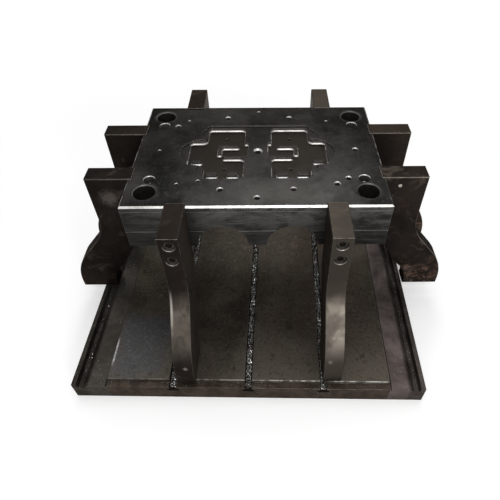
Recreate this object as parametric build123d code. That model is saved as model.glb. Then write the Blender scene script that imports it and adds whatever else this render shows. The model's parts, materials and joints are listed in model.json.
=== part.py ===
"""Mould block on eight dog-leg legs, standing on a T-slotted table.

Millimetres. +X along the block's long side, +Y from the front to the back, +Z up.
The origin is the middle of the whole assembly's footprint, at the table's underside.
"""

import os
from math import atan2, tan

from build123d import *

# Mould block
block_length = 600.0
block_width = 426.0
block_thick = 120.0
block_top_chamfer = 4.0
block_edge_chamfer = 2.0

# Half-round cavities under the block
cavity_radius = 60.0
cavity_x = 81.0

# Manifold pocket in the block's top, given for one half and mirrored
recess_half_length = 136.0
recess_half_width = 114.0
recess_depth = 3.0
recess_corner = 14.0
recess_arc_x = 137.0
recess_arc_y = -6.0
recess_arc_radius = 56.0
recess_ear_x = 126.0
recess_ear_y = 78.0
recess_ear_radius = 22.0
pocket_depth = 12.0
pocket_floor_radius = 5.0
pocket_corner = 12.0
pocket_front_y = -110.0
pocket_back_y = 105.0
pocket_inner_x = 32.0
pocket_outer_x = 131.0
pocket_jog = 9.0
jog_corner = 6.4
jog_tip = 2.0
jog_y = 38.5
lobe_outer_x = 174.0
lobe_back_y = 44.0
lobe_front_y = -60.0
rib_width = 7.0
rib_corner = 3.0
hook_rib_inner_x = 50.0
hook_rib_outer_x = 99.0
hook_rib_y = 20.0
hook_rib_tip_y = -10.0
hook_rib_bend = 9.0
arm_rib_outer_x = 84.0
arm_rib_y = -27.0
front_pad_x = [59.0, 108.0]
front_pad_y = -92.0
front_pad_length = 23.0
front_pad_width = 11.0
side_rib_inner_x = 138.0
side_rib_outer_x = 160.0
side_rib_y = -45.0
drop_hole_y = 65.0
drop_hole_radius = 5.5
centre_hole_radius = 8.0
centre_hole_sink = 4.0
centre_hole_depth = 40.0

# Guide bushes in the block's corners
bush_x = 252.0
bush_y = 161.0
bush_bore_radius = 25.0
bush_wall = 6.0
bush_mouth_chamfer = 2.5
bush_head_radius = 35.0
bush_head_thick = 8.0
bush_clearance = 0.05

# Holes drilled into the block's top, as (x, y)
corner_bolt_x = 249.0
corner_bolt_y = 116.0
corner_bolt_radius = 8.75
corner_head_radius = 13.0
corner_head_depth = 18.0
corner_hole_chamfer = 1.5
clamp_hole_x = 83.0
clamp_hole_y = 153.5
tapped_hole_radius = 6.0
tapped_hole_depth = 32.0
tapped_hole_chamfer = 2.0
loose_tapped_holes = [(-213.0, 113.0), (243.0, 1.0), (1.0, -183.0), (184.0, -135.0), (212.0, -115.0)]
pin_hole_radius = 3.5
pin_hole_depth = 20.0
pin_hole_chamfer = 1.0
pin_holes = [
    (-186.0, 138.0),
    (182.0, 134.0),
    (-244.0, 0.0),
    (-184.0, -134.0),
    (-136.0, -122.0),
    (0.0, 184.0),
]

# Dog-leg legs. Heights are above the foot, reaches are out from the block's side
leg_thick = 46.0
leg_height = 382.0
leg_proud = 2.0
leg_reach = 100.0
leg_key_depth = 10.0
leg_slot_clearance = 0.1
leg_edge_chamfer = 1.5
foot_reach = 212.0
foot_depth = 98.0
flare_drop = 49.0
foot_share = 0.305
foot_bend_share = 0.78
outer_neck_radius = 120.0
inner_neck_radius = 90.0
hollow_reach = 80.0
hollow_share = 0.325
hollow_swell = 9.0
long_side_leg_x = 177.5
short_side_leg_y = 94.0

# Socket head screws that hold the legs
leg_screw_radius = 8.0
leg_screw_head_radius = 12.0
leg_screw_head_height = 16.0
leg_screw_key = 14.0
leg_screw_key_depth = 8.0
leg_screw_grip = 30.0
leg_screw_depths = [21.0, 65.0]
leg_screw_hole_radius = 8.75
leg_counterbore_radius = 13.0
leg_counterbore_depth = 21.0
leg_counterbore_chamfer = 1.0
thread_clearance = 0.05
set_screw_radius = 4.0
set_screw_length = 12.0
set_screw_key = 4.0
set_screw_reach = 36.0
set_screw_drop = 22.0

# T-slotted table
table_width = 694.0
table_length = 874.0
table_thick = 60.0
table_shift = -17.0
table_turn = -1.4
table_edge_chamfer = 2.0
table_end_ledge = 16.0
ledge_drop = 8.0
slot_pitch = 185.0
slot_width = 18.0
slot_neck = 16.0
slot_foot_width = 30.0
slot_foot_height = 12.0

# Gutter rails along the table's sides
rail_width = 86.0
rail_groove = 4.0
rail_groove_depth = 6.0
rail_ledge = 46.0
gutter_width = 29.0
gutter_depth = 10.0
gutter_slope = 15.0
gutter_steep = 3.0
gutter_brow_radius = 14.0
gutter_floor_radius = 4.0
lip_rise = 4.0
rail_screw_radius = 6.0
rail_screw_head_radius = 9.0
rail_screw_head_height = 12.0
rail_screw_key = 10.0
rail_screw_key_depth = 6.0
rail_screw_grip = 20.0
rail_screw_hole_radius = 6.6
rail_counterbore_radius = 10.0
rail_counterbore_depth = 48.0
rail_screw_height = 22.0
rail_screw_ends = 90.0
rail_screw_count = 4

# Levels and places that follow from the sizes above
table_top = table_thick
block_top = table_top + leg_height
block_bottom = block_top - block_thick
leg_top = leg_height + leg_proud
leg_under_block = leg_height - block_thick
flare_top = leg_under_block - flare_drop
foot_height = foot_share * leg_under_block
hollow_height = hollow_share * leg_under_block
foot_turn = atan2(foot_reach - leg_reach, flare_top - foot_height)
foot_radius = foot_bend_share * foot_height / tan(foot_turn / 2)
half_length = block_length / 2
half_width = block_width / 2
table_place = Pos(table_shift, 0, 0) * Rot(0, 0, table_turn)

leg_places = {
    "front_left": Pos(-long_side_leg_x, -half_width, 0) * Rot(0, 0, -90),
    "front_right": Pos(long_side_leg_x, -half_width, 0) * Rot(0, 0, -90),
    "rear_left": Pos(-long_side_leg_x, half_width, 0) * Rot(0, 0, 90),
    "rear_right": Pos(long_side_leg_x, half_width, 0) * Rot(0, 0, 90),
    "left_front": Pos(-half_length, -short_side_leg_y, 0) * Rot(0, 0, 180),
    "left_rear": Pos(-half_length, short_side_leg_y, 0) * Rot(0, 0, 180),
    "right_front": Pos(half_length, -short_side_leg_y, 0),
    "right_rear": Pos(half_length, short_side_leg_y, 0),
}


def box_between(low, high):
    """Block between two opposite corners."""
    size = [b - a for a, b in zip(low, high)]
    return Pos(*low) * Box(*size, align=(Align.MIN, Align.MIN, Align.MIN))


def rectangle_between(x0, y0, x1, y1):
    """Flat rectangle between two opposite corners."""
    return Pos((x0 + x1) / 2, (y0 + y1) / 2) * Rectangle(abs(x1 - x0), abs(y1 - y0))


def lying_cylinder(radius, start, end, z):
    """Cylinder along +X from start to end, at height z."""
    return Pos(start, 0, z) * Rot(0, 90, 0) * Cylinder(
        radius, end - start, align=(Align.CENTER, Align.CENTER, Align.MIN)
    )


def lying_mouth(radius, sink, end, z):
    """Cone along +X that widens a lying hole's mouth, which is at end."""
    return Pos(end - sink, 0, z) * Rot(0, 90, 0) * Cone(
        radius, radius + sink, sink, align=(Align.CENTER, Align.CENTER, Align.MIN)
    )


def drilled(x, y, top, radius, depth, sink=0.0):
    """Tool for one hole from the given level down, with a countersunk mouth."""
    down = (Align.CENTER, Align.CENTER, Align.MAX)
    tool = Pos(x, y, top) * Cylinder(radius, depth, align=down)
    if sink > 0:
        tool += Pos(x, y, top) * Cone(radius, radius + sink, sink, align=down)
    return tool


def socket_screw(radius, head_radius, head_height, key, key_depth, length):
    """Socket head screw along +X: the head's underside at 0 and its shank towards -X."""
    head = lying_cylinder(head_radius, 0, head_height, 0)
    head = chamfer(head.edges().group_by(Axis.X)[-1], head_radius / 12)
    shank = lying_cylinder(radius, -length, 0, 0)
    shank = chamfer(shank.edges().group_by(Axis.X)[0], radius / 6)
    hexagon = extrude(RegularPolygon(key / 2, 6, major_radius=False), key_depth)
    return head + shank - Pos(head_height - key_depth, 0, 0) * Rot(0, 90, 0) * hexagon


def mirrored(shape):
    """A shape of the left half together with its mirror image on the right."""
    return shape + mirror(shape, about=Plane.YZ)


def corner_at(plan, x, y):
    """The plan's corner nearest to a point."""
    return plan.vertices().sort_by_distance((x, y, 0))[0]


def hook_rib():
    """Plan of the hooked rib that stands free in the pocket."""
    bend_x = -hook_rib_outer_x + rib_width
    arm = rectangle_between(-hook_rib_outer_x, hook_rib_y, -hook_rib_inner_x, hook_rib_y + rib_width)
    tail = rectangle_between(-hook_rib_outer_x, hook_rib_tip_y, bend_x, hook_rib_y + rib_width)
    plan = arm + tail
    outer_corners = plan.vertices().sort_by_distance((bend_x, hook_rib_y, 0))[1:]
    plan = fillet(outer_corners, rib_corner)
    return fillet(corner_at(plan, bend_x, hook_rib_y), hook_rib_bend)


def arm_rib():
    """Plan of the rib that reaches into the pocket from the middle land."""
    arm = rectangle_between(-arm_rib_outer_x, arm_rib_y, 0, arm_rib_y + rib_width)
    return fillet(arm.vertices().group_by(Axis.X)[0], rib_corner)


def pads():
    """Plans of the short ribs that stand free: two at the pocket's front, one in its lobe."""
    front = RectangleRounded(front_pad_length, front_pad_width, rib_corner)
    placed = [Pos(-x, front_pad_y) * front for x in front_pad_x]
    side = RectangleRounded(side_rib_outer_x - side_rib_inner_x, rib_width, rib_corner)
    placed.append(Pos(-(side_rib_outer_x + side_rib_inner_x) / 2, side_rib_y + rib_width / 2) * side)
    return placed


def deep_pocket_outline():
    """Plan of the left half's pocket: a column with an outer lobe, and ribs left standing."""
    column = rectangle_between(-pocket_outer_x, pocket_front_y, -pocket_inner_x, pocket_back_y)
    lobe = rectangle_between(-lobe_outer_x, lobe_front_y, -pocket_inner_x, lobe_back_y)
    plan = column + lobe
    plan = fillet(plan.vertices(), pocket_corner)
    jog_x = -pocket_inner_x + pocket_jog
    plan += rectangle_between(-pocket_inner_x - pocket_jog, arm_rib_y, jog_x, jog_y)
    plan = fillet(corner_at(plan, jog_x, jog_y), jog_corner)
    plan = fillet(corner_at(plan, -pocket_inner_x, jog_y), jog_tip)
    plan -= arm_rib()
    plan = fillet(corner_at(plan, jog_x, arm_rib_y + rib_width), jog_corner)
    plan = fillet(corner_at(plan, -pocket_inner_x, arm_rib_y), pocket_corner)
    plan -= hook_rib()
    for pad in pads():
        plan -= pad
    return plan


def recess_plan():
    """Plan of the shallow recess round both pockets, with its round ears."""
    plan = RectangleRounded(2 * recess_half_length, 2 * recess_half_width, recess_corner)
    ears = Pos(-recess_arc_x, recess_arc_y) * Circle(recess_arc_radius)
    for y in (-recess_ear_y, recess_ear_y):
        ears += Pos(-recess_ear_x, y) * Circle(recess_ear_radius)
    return plan + mirrored(ears)


def pocket_tool():
    """Everything milled out of the block's top for the manifold."""
    shallow = extrude(recess_plan(), -recess_depth)
    deep = extrude(deep_pocket_outline(), -pocket_depth)
    deep = fillet(deep.faces().sort_by(Axis.Z)[0].edges(), pocket_floor_radius)
    return shallow + mirrored(deep)


def block_hole_tools():
    """Holes drilled from the top of the block, with the top at level 0."""
    tools = []
    for x in (-corner_bolt_x, corner_bolt_x):
        for y in (-corner_bolt_y, corner_bolt_y):
            tools.append(drilled(x, y, 0, corner_head_radius, corner_head_depth, corner_hole_chamfer))
            below = block_thick - corner_head_depth
            tools.append(drilled(x, y, -corner_head_depth, corner_bolt_radius, below, corner_hole_chamfer))
    clamps = [(x, y) for x in (-clamp_hole_x, clamp_hole_x) for y in (-clamp_hole_y, clamp_hole_y)]
    for x, y in clamps + loose_tapped_holes:
        tools.append(drilled(x, y, 0, tapped_hole_radius, tapped_hole_depth, tapped_hole_chamfer))
    for x, y in pin_holes:
        tools.append(drilled(x, y, 0, pin_hole_radius, pin_hole_depth, pin_hole_chamfer))
    for x in (-cavity_x, cavity_x):
        for y in (-drop_hole_y, drop_hole_y):
            tools.append(drilled(x, y, 0, drop_hole_radius, block_thick - cavity_radius / 2))
    tools.append(drilled(0, 0, -recess_depth, centre_hole_radius, centre_hole_depth, centre_hole_sink))
    return tools


def bush_seat_tool(x, y):
    """Through bore and head recess for one guide bush, with the top at level 0."""
    radius = bush_bore_radius + bush_wall + bush_clearance
    head = Pos(x, y, -block_thick) * Cylinder(
        bush_head_radius + bush_clearance, bush_head_thick, align=(Align.CENTER, Align.CENTER, Align.MIN)
    )
    return drilled(x, y, 0, radius, block_thick) + head


def leg_seat_tool():
    """Slot and screw holes for one leg, in the leg's own frame."""
    half = leg_thick / 2 + leg_slot_clearance
    tool = box_between((-leg_key_depth, -half, block_bottom), (leg_reach, half, block_top))
    for depth in leg_screw_depths:
        hole = leg_screw_radius + thread_clearance
        start = -leg_key_depth - leg_screw_grip
        tool += lying_cylinder(hole, start, 0, block_top - depth)
    return tool


def mould_block():
    """Block with its pocket, holes, bush seats, half-round cavities and leg slots."""
    body = box_between((-half_length, -half_width, block_bottom), (half_length, half_width, block_top))
    body = chamfer(body.edges().group_by(Axis.Z)[-1], block_top_chamfer)
    body = chamfer(body.edges().filter_by(Axis.Z), block_edge_chamfer)
    lift = Pos(0, 0, block_top)
    body -= lift * pocket_tool()
    for tool in block_hole_tools():
        body -= lift * tool
    for x in (-bush_x, bush_x):
        for y in (-bush_y, bush_y):
            body -= lift * bush_seat_tool(x, y)
    for x in (-cavity_x, cavity_x):
        body -= Pos(x, 0, block_bottom) * Rot(90, 0, 0) * Cylinder(cavity_radius, block_width)
    for place in leg_places.values():
        body -= place * leg_seat_tool()
    return body


def guide_bush(x, y):
    """Headed guide bush, flush with the block's top and bottom."""
    up = (Align.CENTER, Align.CENTER, Align.MIN)
    body = Cylinder(bush_bore_radius + bush_wall, block_thick, align=up)
    body += Cylinder(bush_head_radius, bush_head_thick, align=up)
    body -= Cylinder(bush_bore_radius, block_thick, align=up)
    mouth = body.faces().sort_by(Axis.Z)[-1].edges().sort_by(SortBy.RADIUS)[0]
    body = chamfer(mouth, bush_mouth_chamfer)
    return Pos(x, y, block_bottom) * body


def leg_outline():
    """Side view of a leg: X out from the block's side, Y up from the foot."""
    hollow_end = (foot_reach - foot_depth, 0)
    hollow_start = (hollow_reach, hollow_height)
    middle = tuple((a + b) / 2 + hollow_swell for a, b in zip(hollow_start, hollow_end))
    outer = FilletPolyline(
        (leg_reach, leg_top),
        (leg_reach, flare_top),
        (foot_reach, foot_height),
        (foot_reach, 0),
        radius=[outer_neck_radius, foot_radius],
    )
    inner = FilletPolyline(
        (0, leg_under_block),
        (0, flare_top),
        hollow_start,
        radius=inner_neck_radius,
    )
    key = Polyline(
        (leg_reach, leg_top),
        (-leg_key_depth, leg_top),
        (-leg_key_depth, leg_under_block),
        (0, leg_under_block),
    )
    hollow = ThreePointArc(hollow_start, middle, hollow_end)
    foot = Line(hollow_end, (foot_reach, 0))
    return make_face([*outer.edges(), *inner.edges(), *key.edges(), *hollow.edges(), *foot.edges()])


def leg(place):
    """One dog-leg leg with two counterbored screw holes, its foot on the table."""
    body = extrude(Plane.XZ * leg_outline(), leg_thick / 2, both=True)
    sides = body.faces().filter_by(Axis.Y)
    body = chamfer(sides.edges(), leg_edge_chamfer)
    for depth in leg_screw_depths:
        height = leg_height - depth
        body -= lying_cylinder(leg_screw_hole_radius, -leg_key_depth, leg_reach, height)
        body -= lying_cylinder(leg_counterbore_radius, leg_reach - leg_counterbore_depth, leg_reach, height)
        body -= lying_mouth(leg_counterbore_radius, leg_counterbore_chamfer, leg_reach, height)
    return place * Pos(0, 0, table_top) * body


def leg_screws(place):
    """The two screws that clamp one leg to the block."""
    seat = leg_reach - leg_counterbore_depth
    screw = socket_screw(
        leg_screw_radius,
        leg_screw_head_radius,
        leg_screw_head_height,
        leg_screw_key,
        leg_screw_key_depth,
        seat + leg_key_depth + leg_screw_grip,
    )
    return [place * Pos(seat, 0, block_top - depth) * screw for depth in leg_screw_depths]


def set_screw_place():
    """Where the set screw goes into the front face of the right front leg."""
    x = half_length + set_screw_reach
    y = -short_side_leg_y - leg_thick / 2
    return Pos(x, y, block_top - set_screw_drop) * Rot(0, 0, -90)


def set_screw():
    """Short set screw, flush with the leg's face, with a hexagon socket."""
    body = lying_cylinder(set_screw_radius, -set_screw_length, 0, 0)
    hexagon = extrude(RegularPolygon(set_screw_key / 2, 6, major_radius=False), set_screw_key)
    return set_screw_place() * (body - Pos(-set_screw_key, 0, 0) * Rot(0, 90, 0) * hexagon)


def set_screw_hole():
    """Hole for the set screw."""
    return set_screw_place() * lying_cylinder(set_screw_radius + thread_clearance, -set_screw_length, 1, 0)


def slot_positions():
    """Places of the T-slots across the table."""
    return [-slot_pitch, 0.0, slot_pitch]


def table():
    """Table with three T-slots from front to back and a low ledge at each end."""
    half = table_width / 2
    end = table_length / 2
    step = end - table_end_ledge
    body = box_between((-half, -step, 0), (half, step, table_thick))
    body = chamfer(body.edges().group_by(Axis.Z)[-1].filter_by(Axis.X), table_edge_chamfer)
    body += box_between((-half, -end, 0), (half, end, table_thick - ledge_drop))
    for x in slot_positions():
        neck_floor = table_thick - slot_neck
        neck = box_between((x - slot_width / 2, -end, neck_floor), (x + slot_width / 2, end, table_thick))
        foot_floor = neck_floor - slot_foot_height
        foot = slot_foot_width / 2
        body -= neck + box_between((x - foot, -end, foot_floor), (x + foot, end, neck_floor))
    for side in (-1, 1):
        for y in rail_screw_positions():
            hole = rail_screw_radius + thread_clearance
            drill = lying_cylinder(hole, half - rail_screw_grip, half, rail_screw_height)
            body -= Pos(0, y, 0) * (drill if side > 0 else mirror(drill, about=Plane.YZ))
    return table_place * body


def rail_screw_positions():
    """Places of the rail screws along the table."""
    first = -table_length / 2 + rail_screw_ends
    step = (table_length - 2 * rail_screw_ends) / (rail_screw_count - 1)
    return [first + i * step for i in range(rail_screw_count)]


def rail_outline():
    """End view of the right rail: X out from the table's side, Y up from the floor."""
    ledge = table_thick - ledge_drop
    gutter_floor = ledge - gutter_depth
    gutter_out = rail_ledge + gutter_width
    lip = ledge + lip_rise
    outline = make_face(
        Polyline(
            (0, 0),
            (rail_width, 0),
            (rail_width, lip),
            (gutter_out, lip),
            (gutter_out - gutter_steep, gutter_floor),
            (rail_ledge + gutter_slope, gutter_floor),
            (rail_ledge, ledge),
            (rail_groove, ledge),
            (rail_groove, ledge - rail_groove_depth),
            (0, ledge - rail_groove_depth),
            close=True,
        )
    )
    outline = fillet(corner_at(outline, rail_ledge, ledge), gutter_brow_radius)
    outline = fillet(corner_at(outline, gutter_out - gutter_steep, gutter_floor), gutter_floor_radius)
    return fillet(corner_at(outline, rail_ledge + gutter_slope, gutter_floor), gutter_floor_radius)


def rail(side):
    """Gutter rail along one side of the table: side is 1 for the right, -1 for the left."""
    half = table_width / 2
    body = Pos(half, 0, 0) * extrude(Plane.XZ * rail_outline(), table_length / 2, both=True)
    for y in rail_screw_positions():
        outer = half + rail_width
        seat = outer - rail_counterbore_depth
        hole = lying_cylinder(rail_screw_hole_radius, half, outer, rail_screw_height)
        sink = lying_cylinder(rail_counterbore_radius, seat, outer, rail_screw_height)
        body -= Pos(0, y, 0) * (hole + sink)
    return table_place * (body if side > 0 else mirror(body, about=Plane.YZ))


def rail_screws(side):
    """Screws that hold one rail to the table."""
    seat = table_width / 2 + rail_width - rail_counterbore_depth
    screw = socket_screw(
        rail_screw_radius,
        rail_screw_head_radius,
        rail_screw_head_height,
        rail_screw_key,
        rail_screw_key_depth,
        rail_width - rail_counterbore_depth + rail_screw_grip,
    )
    placed = [Pos(seat, y, rail_screw_height) * screw for y in rail_screw_positions()]
    return [table_place * (s if side > 0 else mirror(s, about=Plane.YZ)) for s in placed]


def write(name, shape):
    """Write one node as a STEP file."""
    solids = shape if isinstance(shape, list) else [shape]
    whole = solids[0] if len(solids) == 1 else Compound(children=[Compound(s.wrapped) for s in solids])
    whole.label = name
    export_step(whole, os.path.join("parts", name + ".step"))


def main():
    os.makedirs("parts", exist_ok=True)
    write("mould_block", mould_block())
    for row, y in (("front", -bush_y), ("rear", bush_y)):
        for column, x in (("left", -bush_x), ("right", bush_x)):
            write(f"{row}_{column}_guide_bush", guide_bush(x, y))
    for name, place in leg_places.items():
        body = leg(place)
        if name == "right_front":
            body -= set_screw_hole()
        write(f"{name}_leg", body)
        write(f"{name}_leg_screws", leg_screws(place))
    write("leg_set_screw", set_screw())
    write("t_slot_table", table())
    for name, side in (("left", -1), ("right", 1)):
        write(f"{name}_gutter_rail", rail(side))
        write(f"{name}_rail_screws", rail_screws(side))


main()
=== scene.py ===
"""Looks for the mould block on its dog-leg legs and T-slotted table: materials, swarf, light, camera."""

import json
import math
import random

import bpy
from mathutils import Euler, Matrix, Vector, noise


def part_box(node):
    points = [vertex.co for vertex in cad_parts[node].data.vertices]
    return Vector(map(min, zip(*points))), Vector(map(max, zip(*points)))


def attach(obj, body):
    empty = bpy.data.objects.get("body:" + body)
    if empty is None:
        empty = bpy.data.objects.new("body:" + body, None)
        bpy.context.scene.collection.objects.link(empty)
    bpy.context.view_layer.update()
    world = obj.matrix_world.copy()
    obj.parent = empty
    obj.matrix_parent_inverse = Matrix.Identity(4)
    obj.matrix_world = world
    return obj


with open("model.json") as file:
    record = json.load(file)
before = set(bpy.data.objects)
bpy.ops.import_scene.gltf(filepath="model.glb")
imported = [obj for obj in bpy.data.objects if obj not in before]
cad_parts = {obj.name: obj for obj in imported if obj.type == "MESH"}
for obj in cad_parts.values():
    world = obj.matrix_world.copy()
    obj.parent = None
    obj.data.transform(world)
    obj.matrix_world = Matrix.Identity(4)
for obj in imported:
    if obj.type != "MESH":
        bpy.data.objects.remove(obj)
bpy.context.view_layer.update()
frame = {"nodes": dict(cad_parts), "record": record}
nodes = frame["nodes"]

# The block, in metres. Depths are measured down from its top.
BLOCK_TOP = 0.442
POCKET_FLOOR = (0.008, 0.0045)  # its look is full at the first depth and gone at the second
PAD_FLOOR = (0.0025, 0.001)
GLINT_DEPTH = (0.014, 0.010)  # the glints are gone at the first depth and full at the second
BORE_DEPTH = (0.036, 0.034)  # and so are the threads
INNER_WALLS = (("X", 0.285, 0.290), ("Y", 0.195, 0.200))  # bores are nearer the middle than this
THREAD_PITCH = 0.00175
SCRIBED_LINES = ((0.074, 0.55), (0.015, 0.35))  # depth and strength of each
LINE_HALF = 0.0004
# Where the painted sheen on the top is centred, and how far it reaches.
SHEEN_MIDDLE = (0.04, -0.165)
SHEEN_REACH = (0.17, 0.055)

# The legs: screw axes, the counterbore's radius, and pale spots, the first two of them painted glints, as x,
# z, reach, strength and level.
SCREW_X = 0.1775
SCREW_Y = 0.094
SCREW_LEVELS = (0.377, 0.421)
COUNTERBORE = 0.013
LEG_SPOTS = (
    (-0.172, 0.118, 0.007, 0.80, 0.17),
    (0.1683, 0.134, 0.008, 0.70, 0.15),
    (-0.355, 0.386, 0.030, 0.65, 0.075),
)

# The table, which is shifted and turned a little under the mould, with its slots and gutters.
TABLE_TOP = 0.060
TABLE_HALF = 0.437
PANEL_HALF = 0.4195
LEDGE_DROP = 0.008
TABLE_SHIFT = -0.017
TABLE_TURN = math.radians(-1.4)
SLOT_PITCH = 0.185
SLOT_HALF = 0.009
GUTTER_X = (0.408, 0.418)
GUTTER_FLOOR = 0.042
GUTTER_SHADE = (0.390, 0.404)  # from the table's middle line: clean nearer than this, painted shade and oil dirt farther
WET_MIDDLE = (-0.305, -0.32)  # of the wet patch on the left panel, which has a painted sheen
SHINE_Y = -0.335  # of the painted glint on that panel's edge
SHINE_X = (-0.3695, -0.3665)

# Swarf: the beds in the slots, and the chips, with how many lie where and how far from the edges.
BED_ACROSS, BED_ALONG = 8, 420
BED_INSET, BED_END = 0.0003, 0.001
BED_DEPTH, BED_LEAST_DEPTH, BED_SINK = 0.0042, 0.0012, 0.005
SLOT_CHIPS, GUTTER_CHIPS, LEDGE_CHIPS = 1500, 500, 420
SLOT_INSET, SLOT_END = 0.0022, 0.004
SLOT_CHIP_DEPTH, SLOT_HEAP = 0.0035, 0.0032
LEDGE_INSET, LEDGE_END, LEDGE_RISE = 0.0035, 0.002, 0.0009
LEDGE_REACH, SPILL = 0.34, 0.011
GUTTER_INSET, GUTTER_END, GUTTER_RISE = 0.0015, 0.01, 0.0012
CHIP_STEPS = 5
CHIP_CURL = 0.35  # how much a chip's radius shrinks toward its end
LEAST_TURNS = 0.4
FOOT_MARGIN = 0.006

# Materials: rays that a rounded edge is worked out with.
BEVEL_SAMPLES = 6

# The studio: the floor, the lamps as name, place, aim, size and watts, the world, and the camera.
FLOOR_HALF = 14.0
GLOW_REACH = (0.8, 4.5)
GLOW = (0.20, 0.74)
LAMPS = (
    ("key", (0.05, -2.35, 2.85), (0.0, 0.0, 0.35), (1.3, 0.9), 46.0),
    ("low", (1.15, -3.0, 1.5), (0.1, 0.0, 0.25), (0.6, 0.6), 16.0),
    ("overhead", (0.0, 0.9, 3.6), (0.0, 0.5, 0.0), (3.2, 3.2), 28.0),
    ("behind", (0.30, 4.0, 4.4), (0.05, -0.15, 0.44), (2.0, 0.8), 42.0),
)
WORLD_LIGHT, WORLD_SEEN = 0.40, 1.0
PHOTO_SIZE = 500.0  # pixels
FOCAL_LENGTH = 443.2  # pixels
CENTRE_OFF = (-24.12, -5.94)  # pixels
SENSOR = 36.0  # millimetres
CAMERA_PLACE = (0.03065, -0.93555, BLOCK_TOP + 0.63157)
CAMERA_TURN = (math.radians(44.0), 0.0, math.radians(-0.62))


def grey(value, tint=(1.0, 1.0, 1.0)):
    """A linear colour from one level and a tint."""
    return (value * tint[0], value * tint[1], value * tint[2], 1.0)


class Look:
    """A procedural material, put together node by node, with a base colour painted coat by coat."""

    def __init__(self, name):
        self.material = bpy.data.materials.new(name)
        self.material.use_nodes = True
        self.tree = self.material.node_tree
        self.shader = self.tree.nodes["Principled BSDF"]
        self.coords = self.add("ShaderNodeTexCoord").outputs["Object"]
        self.base = None

    def add(self, kind, **settings):
        node = self.tree.nodes.new(kind)
        for key, value in settings.items():
            setattr(node, key, value)
        return node

    def put(self, socket, value):
        """Link a socket to another, or set it to a plain value."""
        if isinstance(value, bpy.types.NodeSocket):
            self.tree.links.new(value, socket)
        else:
            socket.default_value = value

    def math(self, operation, a, b=0.0):
        node = self.add("ShaderNodeMath", operation=operation)
        self.put(node.inputs[0], a)
        self.put(node.inputs[1], b)
        return node.outputs[0]

    def plus(self, first, *others):
        for other in others:
            first = self.math("ADD", first, other)
        return first

    def minus(self, a, b):
        return self.math("SUBTRACT", a, b)

    def times(self, first, *others):
        for other in others:
            first = self.math("MULTIPLY", first, other)
        return first

    def size(self, value):
        """A value without its sign."""
        return self.math("ABSOLUTE", value)

    def away(self, across, along):
        """The distance that two offsets at right angles make together."""
        return self.math("SQRT", self.plus(self.times(across, across), self.times(along, along)))

    def axis(self, vector, name):
        node = self.add("ShaderNodeSeparateXYZ")
        self.put(node.inputs[0], vector)
        return node.outputs[name]

    def at(self, name):
        """Where the point is along X, Y or Z."""
        return self.axis(self.coords, name)

    def facing(self, name):
        """How much the surface looks along X, Y or Z: 1 for straight, -1 for straight back."""
        return self.axis(self.add("ShaderNodeNewGeometry").outputs["Normal"], name)

    def noise(self, scale, detail=4.0, rough=0.55, stretch=(1, 1, 1), turn=0.0, distortion=0.0):
        place = self.add("ShaderNodeMapping")
        self.put(place.inputs["Vector"], self.coords)
        place.inputs["Scale"].default_value = stretch
        place.inputs["Rotation"].default_value = (0.0, 0.0, turn)
        node = self.add("ShaderNodeTexNoise")
        self.put(node.inputs["Vector"], place.outputs[0])
        node.inputs["Scale"].default_value = scale
        node.inputs["Detail"].default_value = detail
        node.inputs["Roughness"].default_value = rough
        node.inputs["Distortion"].default_value = distortion
        return node.outputs["Fac"]

    def band(self, value, low, high, out_low=0.0, out_high=1.0):
        """Map a value from low..high to out_low..out_high, smoothly and clamped."""
        node = self.add("ShaderNodeMapRange", interpolation_type="SMOOTHSTEP")
        self.put(node.inputs["Value"], value)
        for key, number in zip(("From Min", "From Max", "To Min", "To Max"), (low, high, out_low, out_high)):
            self.put(node.inputs[key], number)
        return node.outputs["Result"]

    def mix(self, fac, a, b):
        node = self.add("ShaderNodeMix", data_type="RGBA")
        self.put(node.inputs["Factor"], fac)
        self.put(node.inputs["A"], a)
        self.put(node.inputs["B"], b)
        return node.outputs["Result"]

    def paint(self, mask, colour):
        """Cover the base colour with another one, as far as the mask says."""
        self.base = self.mix(mask, self.base, colour)

    def slant(self, low=0.25, high=0.93):
        """1 on faces that lean back and look upward, such as chamfers and floor fillets."""
        up = self.facing("Z")
        rising = self.band(up, low - 0.08, low + 0.08)
        return self.times(rising, self.band(up, high - 0.03, high + 0.03, 1.0, 0.0))

    def rounded(self, radius):
        """The surface's direction with its edges rounded off."""
        node = self.add("ShaderNodeBevel", samples=BEVEL_SAMPLES)
        node.inputs["Radius"].default_value = radius
        return node.outputs[0]

    def edges(self, radius):
        """1 on edges that a rounded normal would soften, 0 on flats."""
        dot = self.add("ShaderNodeVectorMath", operation="DOT_PRODUCT")
        self.put(dot.inputs[0], self.rounded(radius))
        self.put(dot.inputs[1], self.add("ShaderNodeNewGeometry").outputs["Normal"])
        return self.band(self.minus(1.0, dot.outputs["Value"]), 0.02, 0.25)

    def normal(self, height, strength, distance, radius=0.0):
        """Raise the surface by a height, over edges rounded with a radius."""
        node = self.add("ShaderNodeBump")
        node.inputs["Strength"].default_value = strength
        node.inputs["Distance"].default_value = distance
        self.put(node.inputs["Height"], height)
        if radius:
            self.put(node.inputs["Normal"], self.rounded(radius))
        self.put(self.shader.inputs["Normal"], node.outputs[0])

    def surface(self, roughness, metallic):
        """Close the material. Metals are given weak, warm reflections at a grazing angle."""
        self.put(self.shader.inputs["Base Color"], self.base)
        self.put(self.shader.inputs["Roughness"], roughness)
        self.shader.inputs["Metallic"].default_value = metallic
        if metallic:
            self.shader.inputs["Specular IOR Level"].default_value = 0.25
            self.shader.inputs["Specular Tint"].default_value = grey(0.45, (1.04, 1.0, 0.95))
        return self.material


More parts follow.
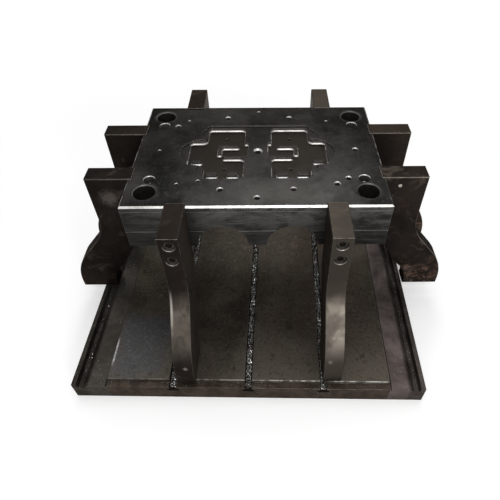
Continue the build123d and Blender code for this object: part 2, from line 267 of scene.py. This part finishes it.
def block_look():
    """Milled and oiled steel: stains, cutter marks, painted glints on slants, painted sheen and shade,
    painted light in the bores, two scribed lines round the sides.
    """
    look = Look("block_steel")
    up, height = look.facing("Z"), look.at("Z")
    side = look.band(look.size(up), 0.2, 0.3, 1.0, 0.0)
    top = look.band(up, 0.93, 0.97)
    cloud = look.noise(5.0, 5.0, 0.6)
    stain = look.noise(22.0, 6.0, 0.65, distortion=0.6)
    speck = look.noise(210.0, 3.0, 0.7)
    mottle = look.noise(75.0, 6.0, 0.8, distortion=0.8)
    scratch = look.noise(60.0, 3.0, 0.7, stretch=(0.35, 9.0, 22.0))
    cross = look.noise(40.0, 2.0, 0.6, stretch=(9.0, 0.3, 9.0), turn=0.5)
    fine = look.plus(look.times(scratch, 0.6), look.times(cross, 0.4))

    dark, pale = grey(0.006, (0.97, 1.0, 1.03)), grey(0.034, (1.03, 1.0, 0.95))
    look.base = look.mix(look.band(cloud, 0.36, 0.66), dark, pale)
    look.paint(look.band(stain, 0.5, 0.72, 0.0, 0.6), grey(0.013, (1.14, 1.0, 0.86)))
    look.paint(look.band(mottle, 0.52, 0.70, 0.0, 0.6), grey(0.050))
    look.paint(look.band(mottle, 0.30, 0.44, 0.55, 0.0), grey(0.006))
    look.paint(look.band(fine, 0.54, 0.7, 0.0, 0.30), grey(0.12))
    look.paint(look.band(speck, 0.60, 0.72, 0.0, 0.6), grey(0.060, (1.05, 1.0, 0.92)))
    look.paint(look.band(speck, 0.28, 0.40, 0.5, 0.0), grey(0.008))

    # A painted sheen on an area of the top near its front.
    across = look.math("DIVIDE", look.minus(look.at("X"), SHEEN_MIDDLE[0]), SHEEN_REACH[0])
    along = look.math("DIVIDE", look.minus(look.at("Y"), SHEEN_MIDDLE[1]), SHEEN_REACH[1])
    near = look.band(look.away(across, along), 0.2, 1.3, 0.62, 0.0)
    top_sheen = look.times(near, look.band(stain, 0.35, 0.6, 0.45, 1.0))
    look.paint(look.times(top, top_sheen), grey(0.055, (1.05, 1.0, 0.92)))

    # The sides: painted lighter toward the top as sheen, painted darker at the left end as shade, scratched
    # along, and scribed.
    smear = look.noise(16.0, 6.0, 0.72, stretch=(0.7, 0.7, 1.8), distortion=0.7)
    upper = look.band(height, BLOCK_TOP - 0.10, BLOCK_TOP - 0.01, 0.3, 1.0)
    painted_sheen = look.times(upper, look.band(smear, 0.36, 0.62, 0.1, 1.0))
    steel = look.mix(painted_sheen, grey(0.010, (1.08, 1.0, 0.92)), grey(0.092, (1.02, 1.0, 0.97)))
    look.paint(look.times(side, 0.75), steel)
    left_end_shade = look.band(look.at("X"), -0.30, -0.17, 0.65, 0.0)
    look.paint(look.times(side, left_end_shade), grey(0.012, (1.06, 1.0, 0.96)))
    level_scratch = look.noise(34.0, 4.0, 0.8, stretch=(0.3, 0.3, 30.0), distortion=0.2)
    look.paint(look.times(look.band(level_scratch, 0.55, 0.68, 0.0, 0.6), side), grey(0.16))
    for depth, weight in SCRIBED_LINES:
        level = BLOCK_TOP - depth
        drift = look.noise(8.0, 2.0, 0.5, stretch=(1, 1, 0.1))
        wobble = look.band(drift, 0.3, 0.7, level - LINE_HALF, level + LINE_HALF)
        off = look.size(look.minus(height, wobble))
        broken = look.band(look.noise(18.0, 3.0, 0.6, stretch=(1, 1, 0.1)), 0.35, 0.55, 0.3, 1.0)
        line = look.band(off, LINE_HALF, LINE_HALF + 0.0007, weight, 0.0)
        look.paint(look.times(line, side, broken), grey(0.26))

    # The pocket's floors, and the rear of the top, which is painted darker as shade.
    for (low, high), weight, colour in (
        (PAD_FLOOR, 0.25, grey(0.020, (1.12, 1.02, 0.86))),
        (POCKET_FLOOR, 0.85, grey(0.015, (1.20, 1.0, 0.82))),
    ):
        sunk = look.times(look.band(height, BLOCK_TOP - low, BLOCK_TOP - high, 1.0, 0.0), top)
        look.paint(look.times(sunk, weight), colour)
    rear = look.band(look.at("Y"), -0.13, -0.04, 0.0, 0.30)
    look.paint(look.times(rear, top), grey(0.008, (1.04, 1.0, 0.95)))

    # Chamfers and fillets: painted glints where they face the front, and short upright painted glints in the
    # pocket.
    lean = look.slant()
    faces_front = look.band(look.facing("Y"), -0.50, -0.12, 1.0, 0.0)
    bright = look.mix(faces_front, grey(0.10, (1.04, 1.0, 0.93)), grey(0.46, (1.02, 1.0, 0.96)))
    upright = look.band(look.size(look.facing("X")), 0.30, 0.50)
    short = look.band(look.noise(45.0, 2.0, 0.5), 0.50, 0.56)
    in_pocket = look.band(height, BLOCK_TOP - GLINT_DEPTH[0], BLOCK_TOP - GLINT_DEPTH[1])
    bright = look.mix(look.times(upright, short, in_pocket), bright, grey(0.40, (1.02, 1.0, 0.96)))
    look.paint(look.times(lean, look.band(stain, 0.4, 0.75, 1.0, 0.6)), bright)
    look.paint(look.times(look.edges(0.0018), look.band(speck, 0.4, 0.6, 0.8, 0.2)), grey(0.12))

    # The walls of the upper bores, with painted light on them and threads.
    bore_wall_light = look.times(side, look.band(height, BLOCK_TOP - BORE_DEPTH[0], BLOCK_TOP - BORE_DEPTH[1]))
    for name, low, high in INNER_WALLS:
        bore_wall_light = look.times(bore_wall_light, look.band(look.size(look.at(name)), low, high, 1.0, 0.0))
    look.paint(bore_wall_light, grey(0.16, (1.08, 1.0, 0.9)))
    thread = look.times(look.math("SINE", look.times(height, math.tau / THREAD_PITCH)), bore_wall_light)
    relief = look.plus(look.times(fine, 0.30), look.times(mottle, 0.20), look.times(thread, 0.5))
    look.normal(relief, 0.45, 0.0004, 0.0006)
    return look.surface(look.plus(look.band(stain, 0.3, 0.75, 0.33, 0.48), look.times(lean, 0.02)), 0.9)


def counterbore_highlights(look, grain):
    """Paint a highlight on the lower part of each screw's counterbore, and tell where its rim stays unworn.
    """
    unworn = 0.0
    for name, centre in (("X", SCREW_X), ("Y", SCREW_Y)):
        for level in SCREW_LEVELS:
            along = look.minus(look.at("Z"), level)
            away = look.away(look.minus(look.size(look.at(name)), centre), along)
            bore = look.band(away, COUNTERBORE + 0.0002, COUNTERBORE + 0.0007, 1.0, 0.0)
            bore = look.times(bore, look.band(along, -0.006, 0.001, 1.0, 0.1))
            speckled_highlight = look.times(bore, look.band(grain, 0.40, 0.60, 0.95, 0.65))
            look.paint(speckled_highlight, grey(0.36, (1.06, 1.0, 0.92)))
            around = look.band(away, COUNTERBORE + 0.003, COUNTERBORE + 0.005, 1.0, 0.0)
            upper = look.band(along, -0.012, 0.0, 0.35, 0.85)
            unworn = look.math("MAXIMUM", unworn, look.times(around, upper))
    return unworn


def leg_look():
    """Scaled steel: reddish brown, blotched and pitted, with painted highlights on slopes, painted light and
    shade by place, and worn edges.
    """
    look = Look("leg_steel")
    x, y, height = look.at("X"), look.at("Y"), look.at("Z")
    cloud = look.noise(9.0, 5.0, 0.6)
    grain = look.noise(120.0, 6.0, 0.75)
    patch = look.noise(16.0, 5.0, 0.65, distortion=0.9)
    streak = look.noise(34.0, 4.0, 0.65, stretch=(3.0, 3.0, 0.3))
    pits = look.noise(85.0, 5.0, 0.8, distortion=1.2)
    rust = look.noise(26.0, 6.0, 0.75, distortion=1.0)

    dark, pale = grey(0.009, (1.36, 1.0, 0.82)), grey(0.020, (1.32, 1.0, 0.82))
    look.base = look.mix(look.band(cloud, 0.35, 0.7), dark, pale)
    look.paint(look.band(grain, 0.48, 0.72, 0.0, 0.7), grey(0.008, (1.3, 0.95, 0.82)))
    look.paint(look.band(patch, 0.56, 0.68, 0.0, 0.65), grey(0.070, (1.26, 1.0, 0.84)))
    look.paint(look.band(streak, 0.58, 0.78, 0.0, 0.5), grey(0.048, (1.40, 0.92, 0.68)))
    look.paint(look.band(pits, 0.62, 0.74, 0.0, 0.45), grey(0.12, (1.08, 1.0, 0.92)))
    rusty = look.times(look.band(rust, 0.58, 0.68), look.band(cloud, 0.45, 0.6))
    look.paint(look.times(rusty, 0.7), (0.085, 0.034, 0.020, 1.0))

    # The legs on the short sides are painted darker as shade, and the right ones have rust on their feet.
    beside = look.band(look.size(x), 0.27, 0.31)
    look.paint(look.times(beside, look.band(cloud, 0.3, 0.6, 0.5, 0.25)), grey(0.005, (1.0, 1.0, 0.88)))
    foot = look.band(height, 0.10, 0.20, 1.0, 0.0)
    scab = look.band(look.noise(42.0, 6.0, 0.8, distortion=0.9), 0.50, 0.60)
    look.paint(look.times(foot, look.band(x, 0.30, 0.34), scab, 0.85), (0.125, 0.075, 0.058, 1.0))

    # Slopes that look up to the front or the rear get a painted highlight, more so on the right.
    facing = look.size(look.facing("Y"))
    painted_sheen = look.times(look.band(look.facing("Z"), 0.20, 0.62), look.band(facing, 0.25, 0.45))
    right_sheen = look.band(x, -0.10, 0.10, 0.45, 1.0)
    blot = look.noise(21.0, 3.0, 0.5, stretch=(1.0, 1.0, 0.7), distortion=0.4)
    lean = look.times(painted_sheen, right_sheen, look.band(blot, 0.35, 0.62, 1.0, 0.35))
    look.paint(lean, grey(0.155, (1.14, 1.0, 0.84)))

    # Painted light and shade by place: flanks of the front and rear legs painted lighter, more on the left,
    # the left legs painted darker, and the right rear leg painted lighter.
    side = look.size(look.facing("X"))
    flank = look.times(look.band(side, 0.8, 0.95), look.band(look.size(x), 0.21, 0.24, 1.0, 0.0))
    look.paint(look.times(flank, look.band(cloud, 0.3, 0.6, 0.75, 0.45)), grey(0.050, (1.16, 1.0, 0.84)))
    look.paint(look.times(flank, look.band(x, -0.1, 0.1, 0.4, 0.0)), grey(0.12, (1.16, 1.0, 0.84)))
    look.paint(look.band(x, -0.31, -0.27, 0.24, 0.0), grey(0.004, (1.1, 1.0, 0.88)))
    right_rear = look.times(look.band(x, 0.27, 0.31), look.band(y, 0.0, 0.06, 0.0, 0.4))
    right_rear = look.times(right_rear, look.band(cloud, 0.35, 0.6, 1.0, 0.4))
    look.paint(right_rear, grey(0.040, (1.30, 1.0, 0.78)))

    # Faces of the front and rear legs outside the painted highlight: painted paler on the right and darker
    # on the left, as light and shade.
    long_side = look.band(look.size(look.minus(look.size(x), SCREW_X)), 0.02, 0.03, 1.0, 0.0)
    outside_sheen = look.times(look.band(side, 0.3, 0.5, 1.0, 0.0), look.minus(1.0, painted_sheen))
    plain = look.times(long_side, outside_sheen)
    look.paint(look.times(plain, look.band(x, -0.1, 0.1, 0.0, 0.85)), grey(0.040, (1.18, 1.0, 0.82)))
    look.paint(look.times(plain, look.band(x, -0.1, 0.1, 0.6, 0.0)), grey(0.009, (1.30, 1.0, 0.84)))
    unworn = counterbore_highlights(look, grain)

    # A pale rim on the left edge of the long sides' left legs, and pale spots on the legs in front, two of
    # them painted glints.
    rim = look.times(painted_sheen, look.band(x, -0.1965, -0.1925, 1.0, 0.0), look.band(x, -0.21, -0.205))
    above = look.band(look.plus(height, look.times(patch, 0.08)), 0.22, 0.28)
    look.paint(look.times(rim, above), grey(0.27, (1.08, 1.0, 0.90)))
    front = look.band(y, -0.11, -0.10, 1.0, 0.0)
    for spot_x, spot_z, reach, weight, level in LEG_SPOTS:
        away = look.away(look.minus(x, spot_x), look.minus(height, spot_z))
        ragged = look.plus(away, look.times(look.minus(pits, 0.5), 2.2 * reach))
        spot = look.times(look.band(ragged, 0.25 * reach, reach, weight, 0.0), front)
        look.paint(spot, grey(level, (1.16, 1.0, 0.88)))

    # Slopes that look to the left or right are painted darker as shade, and rougher. Edges are worn bright.
    dull_and_shaded = look.times(look.slant(0.35, 0.85), look.band(facing, 0.25, 0.45, 1.0, 0.0))
    look.paint(look.times(dull_and_shaded, 0.8), grey(0.006, (1.3, 1.0, 0.8)))
    worn = look.times(look.edges(0.0022), look.band(grain, 0.35, 0.62, 0.35, 0.95))
    look.paint(look.times(worn, look.minus(1.0, unworn)), grey(0.32, (1.08, 1.0, 0.90)))
    relief = look.plus(grain, look.times(look.band(pits, 0.55, 0.75), 0.8), look.times(patch, 0.7))
    look.normal(relief, 0.30, 0.0006, 0.0012)
    rough = look.minus(look.band(patch, 0.4, 0.7, 0.50, 0.36), look.times(lean, 0.12))
    return look.surface(look.plus(rough, look.times(dull_and_shaded, 0.35)), 0.85)


def table_look():
    """Ground cast iron under years of oil: olive brown, blotched, with pale rubs, a wet bluish patch with
    painted sheen, painted light toward the front, and painted glints.
    """
    look = Look("table_iron")
    x, y = look.at("X"), look.at("Y")
    cloud = look.noise(6.0, 6.0, 0.62, distortion=0.4)
    grain = look.noise(150.0, 5.0, 0.75)
    drop = look.noise(38.0, 4.0, 0.6, distortion=0.5)
    rub = look.noise(16.0, 5.0, 0.7, stretch=(1.0, 0.25, 1.0), turn=0.2)
    hue = look.noise(12.0, 5.0, 0.65, stretch=(1.0, 0.35, 1.0), distortion=0.5)
    brown = look.noise(10.0, 5.0, 0.7, distortion=0.9)
    blotch = look.noise(55.0, 6.0, 0.8, distortion=1.0)

    dark, pale = grey(0.026, (1.18, 1.0, 0.79)), grey(0.058, (1.16, 1.0, 0.80))
    look.base = look.mix(look.band(cloud, 0.35, 0.68), dark, pale)
    look.paint(look.band(hue, 0.46, 0.62, 0.0, 0.55), (0.056, 0.040, 0.032, 1.0))
    look.paint(look.band(hue, 0.36, 0.46, 0.45, 0.0), (0.046, 0.043, 0.030, 1.0))
    look.paint(look.band(rub, 0.56, 0.76, 0.0, 0.28), grey(0.075, (1.04, 1.0, 0.90)))
    look.paint(look.band(brown, 0.54, 0.68, 0.0, 0.5), (0.046, 0.032, 0.021, 1.0))
    # Painted light: the front of the table is lighter, out of the mould's shade.
    front = look.times(look.band(y, -0.43, -0.20, 0.75, 0.0), look.band(cloud, 0.3, 0.6, 0.5, 1.0))
    look.paint(front, grey(0.088, (1.16, 1.0, 0.82)))
    look.paint(look.band(blotch, 0.52, 0.66, 0.0, 0.45), grey(0.085, (1.18, 1.0, 0.80)))
    look.paint(look.band(blotch, 0.32, 0.44, 0.6, 0.0), grey(0.012, (1.15, 1.0, 0.8)))
    look.paint(look.band(drop, 0.60, 0.68, 0.0, 0.55), grey(0.016, (1.15, 1.0, 0.8)))
    look.paint(look.band(grain, 0.53, 0.68, 0.0, 0.7), grey(0.014, (1.1, 1.0, 0.85)))
    look.paint(look.band(grain, 0.34, 0.46, 0.5, 0.0), grey(0.100, (1.14, 1.0, 0.82)))

    # A wet patch at the front left, painted bluish as sheen with a painted highlight in it, and a bright
    # line on the panel's edge beside it, which is a painted glint.
    torn = look.times(look.minus(look.noise(13.0, 6.0, 0.7, distortion=0.8), 0.5), 0.12)
    wide = look.plus(look.size(look.minus(x, WET_MIDDLE[0])), torn)
    long = look.plus(look.size(look.minus(y, WET_MIDDLE[1])), torn)
    wet_and_sheen = look.times(look.band(wide, 0.035, 0.090, 1.0, 0.0), look.band(long, 0.06, 0.12, 1.0, 0.0))
    wet_and_sheen = look.times(wet_and_sheen, look.band(grain, 0.34, 0.6, 0.45, 1.0))
    look.paint(look.times(wet_and_sheen, 0.75), grey(0.050, (0.90, 1.0, 1.14)))
    glint_noise = look.noise(70.0, 7.0, 0.85, stretch=(1.0, 1.6, 1.0), distortion=1.6)
    look.paint(look.times(wet_and_sheen, look.band(glint_noise, 0.50, 0.70, 0.0, 0.75)), grey(0.17, (0.95, 1.0, 1.05)))
    shine = look.band(look.size(look.minus(y, SHINE_Y)), 0.015, 0.05, 0.8, 0.0)
    shine = look.times(shine, look.band(x, SHINE_X[0], SHINE_X[1], 1.0, 0.0))
    look.paint(look.times(shine, look.band(glint_noise, 0.42, 0.56)), grey(0.55))

    # The rusty ledges, and chamfers and edges painted bright here and there, mostly on the right: partly
    # wear, partly a painted highlight.
    ledge = look.band(look.at("Z"), TABLE_TOP - 0.0075, TABLE_TOP - 0.0065, 1.0, 0.0)
    rusty = look.mix(look.band(drop, 0.4, 0.6), grey(0.016, (1.5, 1.0, 0.78)), grey(0.040, (1.4, 1.0, 0.80)))
    look.paint(look.times(ledge, 0.8), rusty)
    broken = look.band(look.noise(34.0, 4.0, 0.7), 0.44, 0.54, 0.20, 1.0)
    broken = look.times(broken, look.band(x, -0.20, 0.16, 0.30, 1.0))
    lean = look.slant()
    look.paint(look.times(lean, 0.9), grey(0.012, (1.3, 1.0, 0.8)))
    # Edge wear together with a painted highlight on the chamfers.
    worn = look.times(look.math("MAXIMUM", lean, look.edges(0.0016)), broken)
    look.paint(worn, grey(0.28, (1.05, 1.0, 0.9)))
    look.normal(look.plus(grain, blotch), 0.36, 0.0006, 0.001)
    rough = look.minus(look.band(cloud, 0.3, 0.7, 0.42, 0.58), look.times(wet_and_sheen, 0.08))
    return look.surface(rough, 0.8)


def rail_look():
    """Rougher and dirtier iron for the gutter rails, with crumbs of swarf stuck to it and painted shade in
    the gutters.
    """
    look = Look("rail_iron")
    cloud = look.noise(11.0, 6.0, 0.66, distortion=0.5)
    grain = look.noise(170.0, 5.0, 0.78)
    crumb = look.noise(260.0, 2.0, 0.6)
    right = look.band(look.at("X"), -0.1, 0.1)
    low = look.mix(right, grey(0.030, (1.10, 1.0, 0.84)), grey(0.046, (1.24, 0.98, 0.90)))
    high = look.mix(right, grey(0.062, (1.10, 1.0, 0.86)), grey(0.115, (1.20, 0.98, 0.92)))
    look.base = look.mix(look.band(cloud, 0.35, 0.68), low, high)
    look.paint(look.band(grain, 0.56, 0.74, 0.0, 0.6), grey(0.07, (1.12, 1.0, 0.86)))

    # The gutters are painted darker, as shade and oil dirt. They are found by the distance from the turned
    # table's middle line.
    turned = look.plus(look.times(look.at("Y"), math.sin(TABLE_TURN)), look.minus(look.at("X"), TABLE_SHIFT))
    sunk = look.band(look.size(turned), *GUTTER_SHADE)
    dirt = look.mix(look.band(cloud, 0.4, 0.6), grey(0.012, (1.2, 1.0, 0.8)), grey(0.034, (1.12, 1.0, 0.82)))
    look.paint(look.times(sunk, 0.7), dirt)
    look.paint(look.band(crumb, 0.68, 0.74, 0.0, 0.8), grey(0.32))
    worn = look.times(look.edges(0.0016), look.band(sunk, 0.0, 1.0, 0.9, 0.25))
    look.paint(worn, grey(0.13, (1.06, 1.0, 0.9)))
    look.normal(look.plus(grain, cloud), 0.38, 0.0008, 0.001)
    return look.surface(look.band(grain, 0.3, 0.7, 0.38, 0.62), 0.75)


def bright_look(name, level, rough, tint=(1.0, 1.0, 1.0), wall=None, mouth=None):
    """Turned steel with dirt in it, for bushes and screws. Walls and mouths have their own levels of painted
    light, and edges get a painted highlight.
    """
    look = Look(name)
    dirt = look.noise(60.0, 5.0, 0.65)
    fine = look.noise(240.0, 3.0, 0.6)
    look.base = look.mix(look.band(dirt, 0.4, 0.7), grey(level, tint), grey(level * 0.45, (1.1, 1.0, 0.86)))
    upright = look.band(look.size(look.facing("Z")), 0.1, 0.2, 0.8, 0.0)
    look.paint(upright, grey(wall or level * 1.1, (1.14, 1.0, 0.84)))
    look.paint(look.slant(), grey(mouth or level * 1.3, tint))
    look.paint(look.edges(0.0008), grey(level * 2.2, tint))
    look.normal(look.plus(dirt, fine), 0.15, 0.0003, 0.0006)
    return look.surface(look.band(dirt, 0.35, 0.7, rough, rough + 0.2), 0.75)


def chip_look():
    """Dull swarf with a few bright turns, chip by chip."""
    look = Look("chip_metal")
    tone = look.noise(300.0, 3.0, 0.7)
    patch = look.band(look.noise(90.0, 3.0, 0.6), 0.4, 0.6)
    look.base = look.mix(patch, grey(0.020, (1.12, 1.0, 0.86)), grey(0.085, (1.06, 1.0, 0.92)))
    look.paint(look.band(tone, 0.55, 0.62), grey(0.80, (1.0, 1.0, 0.97)))
    look.normal(look.noise(900.0, 2.0, 0.5), 0.2, 0.0002)
    return look.surface(look.band(tone, 0.5, 0.64, 0.55, 0.28), 1.0)


looks = {
    "block_steel": block_look(),
    "leg_steel": leg_look(),
    "table_iron": table_look(),
    "rail_iron": rail_look(),
    # Bushes get painted light on their bore walls and a painted glint on their mouths.
    "bush_steel": bright_look("bush_steel", 0.019, 0.38, wall=0.036, mouth=0.08),
    "screw_steel": bright_look("screw_steel", 0.035, 0.32, (1.10, 1.0, 0.90)),
}
# The set screw is painted bright, as a glint.
set_screw = bright_look("set_screw_steel", 0.42, 0.25)
slots = {part["node"]: part["material_slot"] for part in frame["record"]["subparts"]}
for name, piece in nodes.items():
    piece.data.materials.clear()
    piece.data.materials.append(set_screw if name == "leg_set_screw" else looks[slots[name]])


def table_point(x, y, z):
    """A point in the table's own turned frame, taken to the shared frame."""
    c, s = math.cos(TABLE_TURN), math.sin(TABLE_TURN)
    return Vector((TABLE_SHIFT + c * x - s * y, s * x + c * y, z))


def foot_boxes():
    """Footprints of the legs, grown a little, where nothing may stand above the table."""
    boxes = []
    for name in nodes:
        if name.endswith("_leg"):
            low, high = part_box(name)
            least = (low.x - FOOT_MARGIN, low.y - FOOT_MARGIN)
            boxes.append(least + (high.x + FOOT_MARGIN, high.y + FOOT_MARGIN))
    return boxes


def under_foot(point):
    return any(x0 < point.x < x1 and y0 < point.y < y1 for x0, y0, x1, y1 in feet)


def new_piece(name, points, faces, material, body):
    mesh = bpy.data.meshes.new(name)
    mesh.from_pydata(points, [], faces)
    mesh.update()
    mesh.materials.append(material)
    piece = bpy.data.objects.new(name, mesh)
    bpy.context.scene.collection.objects.link(piece)
    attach(piece, body)


def drop_chip(points, faces, spot, radius, widths, most_turns, rise):
    """Lay one curled chip at a spot, turned at random: a ribbon along a short, narrowing helix."""
    spin = Euler([random.uniform(0, math.tau) for _ in range(3)]).to_matrix().to_4x4()
    place = Matrix.Translation(spot) @ spin
    width = random.uniform(*widths)
    turns = random.uniform(LEAST_TURNS, most_turns)
    start = len(points)
    for i in range(CHIP_STEPS + 1):
        share = i / CHIP_STEPS
        angle = turns * math.tau * share
        spread = radius * (1.0 - CHIP_CURL * share)
        for side in (-0.5, 0.5):
            height = radius * rise * share + side * width
            points.append(place @ Vector((spread * math.cos(angle), spread * math.sin(angle), height)))
    for i in range(CHIP_STEPS):
        a = start + 2 * i
        faces.append((a, a + 1, a + 3, a + 2))


def slot_bed(points, faces, x):
    """A rough bed of packed swarf that fills one T-slot's mouth and sinks at its edges."""
    half_length, half_width = TABLE_HALF - BED_END, SLOT_HALF - BED_INSET
    for j in range(BED_ALONG + 1):
        y = -half_length + 2 * half_length * j / BED_ALONG
        top = TABLE_TOP if abs(y) < PANEL_HALF else TABLE_TOP - LEDGE_DROP
        for i in range(BED_ACROSS + 1):
            u = -half_width + 2 * half_width * i / BED_ACROSS
            fine = 0.0022 * noise.noise(Vector((u * 260, y * 260, x * 10)))
            coarse = 0.002 * noise.noise(Vector((u * 40, y * 25, x * 10 + 5)))
            depth = max(BED_LEAST_DEPTH, BED_DEPTH - fine - coarse)
            sink = BED_SINK * (u / SLOT_HALF) ** 6
            points.append(table_point(x + u, y, top - depth - sink))
    row = BED_ACROSS + 1
    for j in range(BED_ALONG):
        for i in range(BED_ACROSS):
            a = j * row + i
            faces.append((a, a + 1, a + row + 1, a + row))


def slot_chips(name, x):
    """Swarf packed in one T-slot, with loose curls on top that lie low under the feet."""
    points, faces = [], []
    slot_bed(points, faces, x)
    for _ in range(SLOT_CHIPS):
        u = random.uniform(-SLOT_HALF + SLOT_INSET, SLOT_HALF - SLOT_INSET)
        y = random.uniform(-PANEL_HALF + SLOT_END, PANEL_HALF - SLOT_END)
        spot = table_point(x + u, y, TABLE_TOP - SLOT_CHIP_DEPTH)
        radius = random.uniform(0.0006, 0.0018)
        if not under_foot(spot):
            spot.z += random.uniform(0.0, SLOT_HEAP)
        drop_chip(points, faces, spot, radius, (0.0005, 0.0014), 1.3, 0.8)
    new_piece(name, points, faces, chips, "table")


def ledge_chips(name, side):
    """Swarf that has spilled from the slots' ends onto one ledge of the table."""
    points, faces = [], []
    for i in range(LEDGE_CHIPS):
        slot = random.choice((-SLOT_PITCH, 0.0, SLOT_PITCH))
        spilled = i % 3 > 0
        x = slot + random.gauss(0.0, SPILL) if spilled else random.uniform(-LEDGE_REACH, LEDGE_REACH)
        y = side * random.uniform(PANEL_HALF + LEDGE_INSET, TABLE_HALF - LEDGE_END)
        radius = random.uniform(0.0004, 0.0011)
        spot = table_point(x, y, TABLE_TOP - LEDGE_DROP + LEDGE_RISE)
        drop_chip(points, faces, spot, radius, (0.0003, 0.0009), 1.1, 0.5)
    new_piece(name, points, faces, chips, "table")


def gutter_chips(name, side):
    """Loose curls and crumbs lying in one gutter."""
    points, faces = [], []
    for _ in range(GUTTER_CHIPS):
        u = random.uniform(GUTTER_X[0] + GUTTER_INSET, GUTTER_X[1] - GUTTER_INSET)
        y = random.uniform(-TABLE_HALF + GUTTER_END, TABLE_HALF - GUTTER_END)
        radius = random.uniform(0.0005, 0.0014)
        spot = table_point(side * u, y, GUTTER_FLOOR + GUTTER_RISE)
        drop_chip(points, faces, spot, radius, (0.0004, 0.001), 1.1, 0.6)
    new_piece(name, points, faces, chips, "table")


def seen(tree):
    """1 for what the camera, a mirror or glass sees, so that the pale background shows there too."""
    rays = tree.nodes.new("ShaderNodeLightPath")
    total = rays.outputs["Is Camera Ray"]
    for name in ("Is Glossy Ray", "Is Transmission Ray"):
        either = tree.nodes.new("ShaderNodeMath")
        either.operation = "MAXIMUM"
        tree.links.new(total, either.inputs[0])
        tree.links.new(rays.outputs[name], either.inputs[1])
        total = either.outputs[0]
    return total


def floor():
    """A large pale floor. It glows for what is seen, more so where the lamps don't reach."""
    corners = [(x * FLOOR_HALF, y * FLOOR_HALF, 0.0) for x, y in ((-1, -1), (1, -1), (1, 1), (-1, 1))]
    mesh = bpy.data.meshes.new("studio_floor")
    mesh.from_pydata(corners, [], [(0, 1, 2, 3)])
    look = Look("pale_floor")
    look.base = look.mix(look.noise(3.0, 3.0, 0.5), grey(0.90), grey(0.94))
    look.surface(0.8, 0.0)
    away = look.add("ShaderNodeVectorMath", operation="LENGTH")
    look.put(away.inputs[0], look.coords)
    far = look.band(away.outputs["Value"], *GLOW_REACH, *GLOW)
    look.shader.inputs["Emission Color"].default_value = grey(1.0)
    look.put(look.shader.inputs["Emission Strength"], look.times(far, seen(look.tree)))
    mesh.materials.append(look.material)
    ground = bpy.data.objects.new("studio_floor", mesh)
    bpy.context.scene.collection.objects.link(ground)


def lamp(name, place, aim, size, watts):
    data = bpy.data.lights.new(name, "AREA")
    data.shape = "RECTANGLE"
    data.size, data.size_y = size
    data.energy = watts
    body = bpy.data.objects.new(name, data)
    body.location = place
    body.rotation_euler = (Vector(aim) - Vector(place)).to_track_quat("-Z", "Y").to_euler()
    bpy.context.scene.collection.objects.link(body)


def light():
    """A key lamp and a low one in front, soft boxes overhead and behind, a dim world seen as white."""
    world = bpy.data.worlds.new("studio")
    world.use_nodes = True
    tree = world.node_tree
    background = tree.nodes["Background"]
    background.inputs["Color"].default_value = grey(1.0)
    pale = tree.nodes.new("ShaderNodeMapRange")
    tree.links.new(seen(tree), pale.inputs["Value"])
    pale.inputs["To Min"].default_value = WORLD_LIGHT
    pale.inputs["To Max"].default_value = WORLD_SEEN
    tree.links.new(pale.outputs["Result"], background.inputs["Strength"])
    bpy.context.scene.world = world
    for settings in LAMPS:
        lamp(*settings)


def camera():
    """The photo's camera, solved from the photo's edges and holes."""
    data = bpy.data.cameras.new("camera")
    data.sensor_width = SENSOR
    data.lens = SENSOR * FOCAL_LENGTH / PHOTO_SIZE
    data.shift_x = CENTRE_OFF[0] / PHOTO_SIZE
    data.shift_y = CENTRE_OFF[1] / PHOTO_SIZE
    data.clip_start = 0.01
    body = bpy.data.objects.new("camera", data)
    body.location = CAMERA_PLACE
    body.rotation_euler = CAMERA_TURN
    bpy.context.scene.collection.objects.link(body)
    bpy.context.scene.camera = body


random.seed(7)
chips = chip_look()
feet = foot_boxes()
slot_chips("left_slot_chips", -SLOT_PITCH)
slot_chips("middle_slot_chips", 0.0)
slot_chips("right_slot_chips", SLOT_PITCH)
ledge_chips("front_ledge_chips", -1)
ledge_chips("rear_ledge_chips", 1)
gutter_chips("left_gutter_chips", -1)
gutter_chips("right_gutter_chips", 1)
floor()
light()
camera()
bpy.context.scene.view_settings.view_transform = "Standard"
